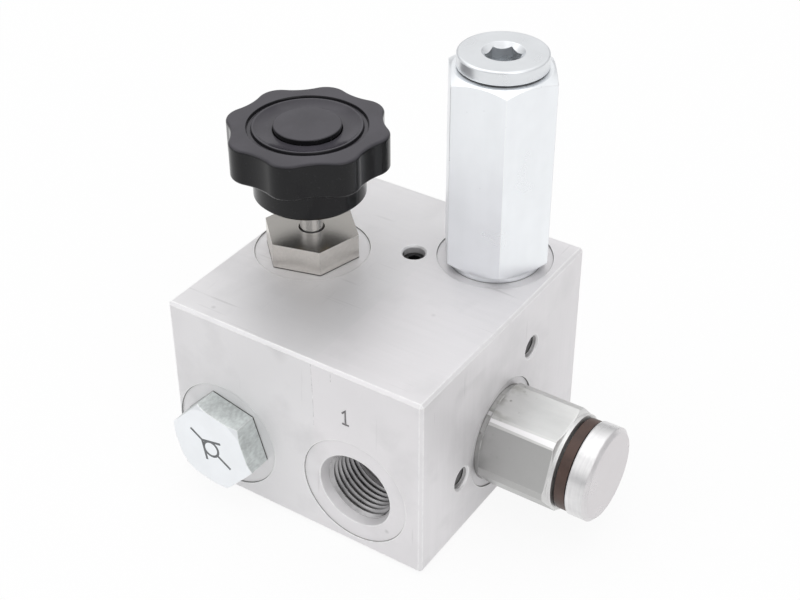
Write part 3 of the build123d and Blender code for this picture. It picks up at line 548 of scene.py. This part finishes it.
def finish_of(name):
    """Each finish is made once, from the scene's settings"""
    if name not in FINISHES:
        scene = bpy.context.scene
        block, metal, knob = scene.manifold_block, scene.manifold_metal, scene.manifold_knob
        alu, zinc = tuple(block.colour), tuple(metal.zinc)
        makers = {
            "block": lambda: milled_aluminium(name, alu, block.mark_depth),
            "thread": lambda: cut_thread(name, alu, 14 * MM),
            # A darker copy of the aluminium: painted shade in the plug and mounting holes
            "plug_thread": lambda: cut_thread(name, shaded(alu, 0.7), 4 * MM),
            "zinc": lambda: plated_steel(name, zinc, 0.30, (260, 260, 40), 0.3 * MM),
            "zinc_check": lambda: plated_steel(
                name, zinc, 0.36, (120, 120, 120), 0.3 * MM, flats=shaded(metal.bar, 1.1), mottle=0.16),
            # Nickel: the top is painted dark and the flats painted 1.85 times lighter
            "nickel": lambda: plated_steel(
                name, tuple(metal.nickel), 0.20, (220, 220, 50), 0.12 * MM,
                flats=shaded(metal.nickel, 1.85), mottle=0.05, flats_axis=2),
            "turned": lambda: plated_steel(name, shaded(zinc, 0.86), 0.28, (240, 240, 900), 0.2 * MM),
            "cap": lambda: turned_cap(name, tuple(metal.bright)),
            "satin": lambda: machined_housing(name, tuple(metal.satin)),
            "bright": lambda: plated_steel(name, tuple(metal.bright), 0.20, (900, 70, 70), 0.15 * MM, dirt_and_shade=0.4),
            "hard": lambda: plated_steel(name, (0.42, 0.42, 0.43), 0.30, (300, 300, 60), 0.1 * MM),
            "spring": lambda: plated_steel(name, (0.34, 0.34, 0.35), 0.24, (90, 90, 900), 0.05 * MM),
            "black_oxide": lambda: plated_steel(
                name, (0.03, 0.03, 0.032), 0.42, (300, 300, 300), 0.1 * MM, metallic=0.6),
            "brass": lambda: plated_steel(name, (0.62, 0.45, 0.20), 0.30, (90, 90, 600), 0.1 * MM),
            "plastic": lambda: moulded_plastic(name, tuple(knob.plastic), tuple(knob.haze)),
            "ring": lambda: rubber(name, tuple(knob.ring), 0.42),
            "seal": lambda: rubber(name, (0.015, 0.015, 0.015), 0.55),
            "etched": lambda: dark_mark(name, (0.12, 0.125, 0.13)),
            "stamped": lambda: dark_mark(name, (0.14, 0.135, 0.14)),
            "scribed": lambda: dark_mark(name, shaded(alu, 0.62)),
        }
        FINISHES[name] = makers[name]()
    return FINISHES[name]


def give(finish, *nodes):
    """Put a finish on CAD nodes"""
    for node in nodes:
        cad = frame["nodes"][node]
        if not cad.material_slots:
            cad.data.materials.append(None)
        for slot in cad.material_slots:
            slot.material = finish_of(finish)


# Mesh helpers

def new_piece(name, build, body, finish, moving=None):
    """Make an object from a mesh builder that rides on a body, or that is baked in place with no body where a
    moving body is given
    """
    mesh = bpy.data.meshes.new(name)
    shape = bmesh.new()
    build(shape)
    bmesh.ops.recalc_face_normals(shape, faces=shape.faces)
    shape.to_mesh(mesh)
    shape.free()
    piece = bpy.data.objects.new(name, mesh)
    bpy.context.scene.collection.objects.link(piece)
    mesh.materials.append(finish_of(finish))
    if moving:
        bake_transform(piece)
    else:
        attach(piece, body)


def axis_frame(origin, outward, across=(0, 0, 0)):
    """Matrix whose Z points outward from an origin, and whose X points across where that is given"""
    outward, across = Vector(outward).normalized(), Vector(across)
    if across.length:
        turn = Matrix((across, outward.cross(across), outward)).transposed()
    else:
        turn = outward.to_track_quat("Z", "Y").to_matrix()
    return Matrix.Translation(Vector(origin)) @ turn.to_4x4()


def skin(shape, rings, closed):
    """Faces between neighbouring rings of points, with the ends shut unless the row is closed"""
    verts = [[shape.verts.new(point) for point in ring] for ring in rings]
    pairs = list(zip(verts, verts[1:])) + ([(verts[-1], verts[0])] if closed else [])
    for first, second in pairs:
        for corner in range(len(first)):
            after = (corner + 1) % len(first)
            shape.faces.new((first[corner], second[corner], second[after], first[after]))
    if not closed:
        shape.faces.new(reversed(verts[0]))
        shape.faces.new(verts[-1])


def thread_ridge(shape, place, bore, height, pitch, low, high):
    """An internal thread: a narrow-crested ridge wound inside a bore, fading out in its first and last turn"""
    steps, fading, buried = 72, 0.25, 0.3 * MM
    root_half, crest_half = pitch * 0.495, pitch * 0.07
    rise = high - low - 2 * root_half
    count = int(rise / pitch * steps)
    rings = []
    for index in range(count + 1):
        turned = index / steps
        angle = tau * turned
        along = low + root_half + rise * index / count
        fade = max(0.03, min(1.0, turned / fading, (count - index) / steps / fading))
        crest = bore - height * fade
        section = (
            (bore + buried, -root_half), (bore, -root_half), (crest, -crest_half), (crest, crest_half),
            (bore, root_half), (bore + buried, root_half),
        )
        rings.append([
            place @ Vector((radius * cos(angle), radius * sin(angle), along + offset)) for radius, offset in section
        ])
    skin(shape, rings, False)


def mark_line(shape, place, points, section, closed=False):
    """A line on a face, swept with mitred corners; the section's points are (sideways, up)"""
    points = [Vector(point) for point in points]
    rings = []
    for index, point in enumerate(points):
        before = points[index - 1] if index or closed else None
        after = points[(index + 1) % len(points)] if index + 1 < len(points) or closed else None
        arriving = (point - before).normalized() if before is not None else (after - point).normalized()
        leaving = (after - point).normalized() if after is not None else arriving
        along = (arriving + leaving).normalized()
        side = Vector((-along.y, along.x)) / max(0.5, along.dot(leaving))
        rings.append([place @ Vector((*(point + side * sideways), up)) for sideways, up in section])
    skin(shape, rings, closed)


def carried_out(name, node, move, body, finish):
    """A piece in place of a CAD node: its mesh with each point moved by a function"""
    def build(shape):
        shape.from_mesh(frame["nodes"][node].data)
        bmesh.ops.remove_doubles(shape, verts=shape.verts, dist=0.001 * MM)
        for vert in shape.verts:
            vert.co = move(vert.co)

    new_piece(name, build, body, finish)
    piece = bpy.data.objects[name]
    mesh = piece.data
    if "custom_normal" in mesh.attributes:
        mesh.attributes.remove(mesh.attributes["custom_normal"])
    mesh.shade_smooth()
    mesh.set_sharp_from_angle(angle=radians(15))
    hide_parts(node)


def spring_coils(name, node, axis, still, moved, moving):
    """Coils of a spring cut between two places along an axis, with the cut ends shut, and baked in place"""
    low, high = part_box(node)
    start = (Vector(low) + Vector(high)) / 2
    end = start.copy()
    start[axis], end[axis] = still, moved

    def build(shape):
        shape.from_mesh(frame["nodes"][node].data)
        bmesh.ops.remove_doubles(shape, verts=shape.verts, dist=0.001 * MM)
        for place, other in ((start, end), (end, start)):
            whole = shape.verts[:] + shape.edges[:] + shape.faces[:]
            outward = (place - other).normalized()
            cut = bmesh.ops.bisect_plane(
                shape, geom=whole, dist=1e-7, plane_co=place, plane_no=outward, clear_outer=True,
            )["geom_cut"]
            rim = [part for part in cut if isinstance(part, bmesh.types.BMEdge) and part.is_boundary]
            bmesh.ops.holes_fill(shape, edges=rim, sides=0)

    new_piece(name, build, "manifold", "spring", (moving, start, end))
    piece = bpy.data.objects[name]
    piece.data.shade_smooth()
    piece.data.set_sharp_from_angle(angle=radians(30))
    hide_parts(node)


def spring_in_two(node, axis, low_body, high_body):
    """A spring between two moving pieces, cut in two at its middle into halves baked in place"""
    low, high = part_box(node)
    middle = (low[axis] + high[axis]) / 2
    spring_coils(node + "_low_coils", node, axis, middle, low[axis], low_body)
    spring_coils(node + "_high_coils", node, axis, middle, high[axis], high_body)


def in_metres(points):
    """Points given in millimetres"""
    return [tuple(part * MM for part in point) for point in points]


def ring_points(centre, radius, count=40):
    """Points of a circle on a face"""
    return [
        (centre[0] + radius * cos(tau * step / count), centre[1] + radius * sin(tau * step / count))
        for step in range(count)
    ]


def flat_section(width, top):
    """Section of a mark that lies just proud of its face"""
    half, root = width / 2, -0.04 * MM
    return (-half, root), (-half, top), (half, top), (half, root)


def burr_section(offset, width, top):
    """Section of the metal raised beside a stamped line"""
    root = -0.04 * MM
    return (offset - width / 2, root), (offset, top), (offset + width / 2, root)


# Operators

class MANIFOLD_OT_block(bpy.types.Operator):
    """Finish the block and its screwed plugs"""

    bl_idname = "manifold.block"
    bl_label = "Block"

    def execute(self, context):
        give("block", "manifold_block")
        give("black_oxide", "construction_plugs")
        return {"FINISHED"}


class MANIFOLD_OT_threads(bpy.types.Operator):
    """Cut the threads of the ports, the plug holes and the mounting holes"""

    bl_idname = "manifold.threads"
    bl_label = "Threads"

    def execute(self, context):
        settings = context.scene.manifold_block
        for name in ("port_c", "port_p", "port_t"):
            mount = MOUNTS[name]
            place = axis_frame(mount["pos_m"], mount["axis"])
            half = mount["dims"]["length_mm"] * MM / 2
            bore = mount["dims"]["r_mm"] * MM
            outer = half + 0.7 * MM
            self.cut(name, "thread", place, bore, settings.port_thread, settings.port_pitch, -half, outer)
        for name, mouth, outward, depth in PLUG_HOLES:
            place = axis_frame(mouth, outward)
            height, pitch = settings.plug_thread, settings.plug_pitch
            self.cut(name, "plug_thread", place, PLUG_BORE, height, pitch, -depth, -0.3 * MM)
        holes = MOUNTS["mounting_holes"]["dims"]
        for name, side in (("front_mounting", -1), ("rear_mounting", 1)):
            place = axis_frame((0, side * holes["spacing_y_mm"] / 2 * MM, 0), (0, 0, -1))
            bore = holes["hole_r_mm"] * MM
            height, pitch = settings.mount_thread, settings.mount_pitch
            self.cut(name, "plug_thread", place, bore, height, pitch, -MOUNT_THREAD_DEPTH, -0.1 * MM)
        return {"FINISHED"}

    def cut(self, name, finish, place, *sizes):
        new_piece(
            name + "_thread", lambda shape: thread_ridge(shape, place, *sizes), "manifold", finish,
        )


class MANIFOLD_OT_block_marks(bpy.types.Operator):
    """Stamp a plain port number on the front face and scribe its setting-out lines"""

    bl_idname = "manifold.block_marks"
    bl_label = "Block marks"

    def execute(self, context):
        place = axis_frame((0, BLOCK_LOW.y, 0), (0, -1, 0), (1, 0, 0))
        foot = Vector(STAMP_FOOT) * MM
        tall = context.scene.manifold_block.stamp_height
        strokes = [
            [(-0.9 * MM, tall * 0.74), (0.1 * MM, tall), (0.1 * MM, 0)],
            [(-0.9 * MM, 0), (1.1 * MM, 0)],
        ]
        strokes = [[foot + Vector(point) for point in stroke] for stroke in strokes]

        def sunk(shape):
            for height, stroke in enumerate(strokes):
                mark_line(shape, place, stroke, flat_section(0.46 * MM, (0.012 + 0.004 * height) * MM))

        def burrs(shape):
            for stroke in strokes:
                for offset in (-0.31, 0.31):
                    mark_line(shape, place, stroke, burr_section(offset * MM, 0.14 * MM, 0.035 * MM))

        def scribed(shape):
            for points, width in ((SCRIBED_LINE, 0.13), (SHORT_NICK, 0.16)):
                mark_line(shape, place, in_metres(points), flat_section(width * MM, 0.01 * MM))

        new_piece("port_number", sunk, "manifold", "stamped")
        new_piece("port_number_burr", burrs, "manifold", "block")
        new_piece("scribed_lines", scribed, "manifold", "scribed")
        return {"FINISHED"}


class MANIFOLD_OT_check_valve(bpy.types.Operator):
    """Finish the check valve and etch a plain ball-and-seat sign on its face"""

    bl_idname = "manifold.check_valve"
    bl_label = "Check valve"

    def execute(self, context):
        give("zinc_check", "check_valve_body")
        give("hard", "check_valve_cage", "check_valve_poppet")
        low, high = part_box("check_valve_spring")
        spring_coils("check_valve_spring_coils", "check_valve_spring", 1, low[1], high[1], "check_poppet")
        give("seal", "check_valve_head_seal", "check_valve_nose_seal")
        middle = (CHECK_LOW + CHECK_HIGH) / 2
        across = (cos(SIGN_TILT), 0, sin(SIGN_TILT))
        place = axis_frame((middle.x, CHECK_LOW.y, middle.z), (0, -1, 0), across)
        width = context.scene.manifold_block.sign_width

        def sign(shape):
            for height, points in enumerate(SIGN_LINES):
                mark_line(shape, place, in_metres(points), flat_section(width, (0.014 + 0.003 * height) * MM))
            ball = ring_points(SIGN_BALL_CENTRE, SIGN_BALL_RADIUS)
            mark_line(shape, place, ball, flat_section(width, 0.014 * MM), True)

        new_piece("check_valve_sign", sign, "manifold", "etched")
        return {"FINISHED"}


class MANIFOLD_OT_needle_valve(bpy.types.Operator):
    """Finish the needle valve below its knob"""

    bl_idname = "manifold.needle_valve"
    bl_label = "Needle valve"

    def execute(self, context):
        give("nickel", "needle_valve_body")
        give("bright", "needle_valve_spindle")
        give("brass", "needle_valve_knob_bush")
        give("hard", "needle_valve_cage", "needle_valve_needle")
        give("seal", "needle_valve_stem_seal", "needle_valve_head_seal", "needle_valve_nose_seal")
        return {"FINISHED"}


class MANIFOLD_OT_knob(bpy.types.Operator):
    """Finish the moulded knob and its cover"""

    bl_idname = "manifold.knob"
    bl_label = "Knob"

    def execute(self, context):
        give("plastic", "needle_valve_knob", "needle_valve_knob_cover")
        return {"FINISHED"}


class MANIFOLD_OT_relief_valve(bpy.types.Operator):
    """Finish the relief valve"""

    bl_idname = "manifold.relief_valve"
    bl_label = "Relief valve"

    def execute(self, context):
        valve = "relief_valve_"
        give("zinc", valve + "housing")
        give("turned", valve + "plug")
        give("black_oxide", valve + "adjuster")
        give("hard", valve + "cage", valve + "poppet", valve + "spring_plate")
        spring_in_two(valve + "spring", 2, "relief_poppet", "relief_plate")
        give("seal", valve + "plug_seal", valve + "head_seal", valve + "nose_seal")
        return {"FINISHED"}


class MANIFOLD_OT_flow_regulator(bpy.types.Operator):
    """Finish the flow regulator, its cap and its ring, and carry its hexagon out to the collar"""

    bl_idname = "manifold.flow_regulator"
    bl_label = "Flow regulator"

    def execute(self, context):
        valve = "flow_regulator_"
        low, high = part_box(valve + "cap")
        axis = Vector(((low[1] + high[1]) / 2, (low[2] + high[2]) / 2))

        def move(point):
            """Carry the hexagon's turned corners out to a short step at the collar"""
            across = Vector((point.y, point.z)) - axis
            radius = across.length
            if not CHAMFER_START <= point.x <= COLLAR_END or radius < SPIGOT_RADIUS:
                return point
            if radius > COLLAR_RADIUS:
                step = (CORNER_RADIUS - radius) / (CORNER_RADIUS - COLLAR_RADIUS)
                return Vector((HEXAGON_END + max(0.0, step) * COLLAR_STEP, point.y, point.z))
            out = axis + across * (COLLAR_RADIUS / radius)
            return Vector((point.x, out.x, out.y))

        carried_out(valve + "housing", valve + "body", move, "manifold", "satin")
        give("cap", valve + "cap")
        give("ring", valve + "cap_ring")
        give("black_oxide", valve + "adjuster")
        give("hard", valve + "cage", valve + "spool", valve + "spring_plate")
        spring_in_two(valve + "spring", 0, "regulator_spool", "regulator_plate")
        give("seal", valve + "head_seal", valve + "nose_seal")
        return {"FINISHED"}


class MANIFOLD_OT_stage(bpy.types.Operator):
    """Set the camera, the pale floor, the lamps and the world"""

    bl_idname = "manifold.stage"
    bl_label = "Stage"

    def execute(self, context):
        settings = context.scene.manifold_stage
        place_camera(settings)
        lay_floor(settings.floor_lift)
        hang_lamps(settings.lamps)
        light_world(settings.world)
        context.scene.view_settings.view_transform = "Standard"
        return {"FINISHED"}


def place_camera(settings):
    """A camera at the photograph's angle"""
    azimuth, elevation, roll = settings.azimuth, settings.elevation, settings.roll
    forward = Vector((-sin(azimuth) * cos(elevation), cos(azimuth) * cos(elevation), -sin(elevation)))
    level = forward.cross(Vector((0, 0, 1))).normalized()
    upright = level.cross(forward)
    right = level * cos(roll) + upright * sin(roll)
    up = upright * cos(roll) - level * sin(roll)
    data = bpy.data.cameras.new("camera")
    data.lens = settings.lens
    data.sensor_width = 36.0
    data.clip_start, data.clip_end = 0.01, 10.0
    camera = bpy.data.objects.new("camera", data)
    bpy.context.scene.collection.objects.link(camera)
    turn = Matrix((right, up, -forward)).transposed().to_4x4()
    camera.matrix_world = Matrix.Translation(Vector(settings.camera)) @ turn
    bpy.context.scene.camera = camera


def seen_factor(tree):
    """1 for camera, glossy and transmission rays, 0 for the rays that light surfaces"""
    rays = ("Is Camera Ray", "Is Glossy Ray", "Is Transmission Ray")
    camera, glossy, transmission = (tree.node("ShaderNodeLightPath", {}, {}, ray) for ray in rays)
    return (camera + glossy + transmission).clamp()


def lay_floor(lift):
    """A large pale floor; camera and reflections see it nearer white, with the object's shadow on it"""
    tree = Tree(bpy.data.materials.new("floor"))
    matt = tree.node("ShaderNodeBsdfDiffuse", {}, {"Color": (0.96, 0.96, 0.96)})
    white = tree.node("ShaderNodeEmission", {}, {"Color": (1.0, 1.0, 1.0), "Strength": 1.0})
    inputs = {0: seen_factor(tree) * lift, 1: matt, 2: white}
    mesh = bpy.data.meshes.new("floor")
    shape = bmesh.new()
    bmesh.ops.create_grid(shape, x_segments=1, y_segments=1, size=3.0)
    shape.to_mesh(mesh)
    shape.free()
    mesh.materials.append(tree.finished("ShaderNodeMixShader", "ShaderNodeOutputMaterial", inputs))
    floor = bpy.data.objects.new("floor", mesh)
    bpy.context.scene.collection.objects.link(floor)
    floor.location.z = -0.2 * MM


def hang_lamps(power):
    """Large soft lamps: one overhead and one on each side of the camera"""
    lamps = (
        ("overhead", (-0.3, 0.1, 1.3), 1.4, 1.0),
        ("left", (-0.9, -0.9, 0.8), 1.0, 0.5),
        ("right", (1.1, -0.5, 0.8), 1.0, 0.6),
    )
    for name, place, size, share in lamps:
        data = bpy.data.lights.new(name, "AREA")
        data.size = size
        data.energy = power * share
        lamp = bpy.data.objects.new(name, data)
        lamp.location = place
        aim = Vector((0, 0, 0.04)) - lamp.location
        lamp.rotation_euler = aim.to_track_quat("-Z", "Y").to_euler()
        bpy.context.scene.collection.objects.link(lamp)


def light_world(strength):
    """Pale studio walls, brighter overhead; the camera sees a white backdrop, and reflections the walls in full"""
    tree = Tree(bpy.data.worlds.new("studio"))
    height = tree.part(tree.node("ShaderNodeTexCoord", {}, {}, "Generated"), 2)
    walls = tree.mix(height.ramp(0.02, 0.5), (0.42, 0.42, 0.43), (1.0, 1.0, 1.0))
    light = tree.node("ShaderNodeBackground", {}, {"Color": walls, "Strength": strength})
    camera = tree.node("ShaderNodeLightPath", {}, {}, "Is Camera Ray")
    backdrop = tree.mix(camera, walls, (1.0, 1.0, 1.0))
    seen = tree.node("ShaderNodeBackground", {}, {"Color": backdrop, "Strength": 1.0})
    inputs = {0: seen_factor(tree), 1: light, 2: seen}
    bpy.context.scene.world = tree.finished("ShaderNodeMixShader", "ShaderNodeOutputWorld", inputs)


class MANIFOLD_PT_panel(bpy.types.Panel):
    """Operators and settings in the sidebar"""

    bl_label = "Manifold"
    bl_idname = "MANIFOLD_PT_panel"
    bl_space_type = "VIEW_3D"
    bl_region_type = "UI"
    bl_category = "Manifold"

    def draw(self, context):
        for step in STEPS:
            self.layout.operator(step.bl_idname)
        for group in GROUPS:
            settings = getattr(context.scene, group)
            for name in settings.__annotations__:
                self.layout.prop(settings, name)


STEPS = (
    MANIFOLD_OT_block, MANIFOLD_OT_threads, MANIFOLD_OT_block_marks, MANIFOLD_OT_check_valve,
    MANIFOLD_OT_needle_valve, MANIFOLD_OT_knob, MANIFOLD_OT_relief_valve, MANIFOLD_OT_flow_regulator,
    MANIFOLD_OT_stage,
)
GROUPS = {
    "manifold_block": BlockSettings,
    "manifold_metal": MetalSettings,
    "manifold_knob": KnobSettings,
    "manifold_stage": StageSettings,
}


def register():
    for group, settings in GROUPS.items():
        bpy.utils.register_class(settings)
        setattr(bpy.types.Scene, group, PointerProperty(type=settings))
    for step in STEPS:
        bpy.utils.register_class(step)
    bpy.utils.register_class(MANIFOLD_PT_panel)


def unregister():
    bpy.utils.unregister_class(MANIFOLD_PT_panel)
    for step in reversed(STEPS):
        bpy.utils.unregister_class(step)
    for group, settings in GROUPS.items():
        delattr(bpy.types.Scene, group)
        bpy.utils.unregister_class(settings)


def main():
    register()
    for step in STEPS:
        family, action = step.bl_idname.split(".")
        getattr(getattr(bpy.ops, family), action)()


if __name__ == "__main__":
    main()
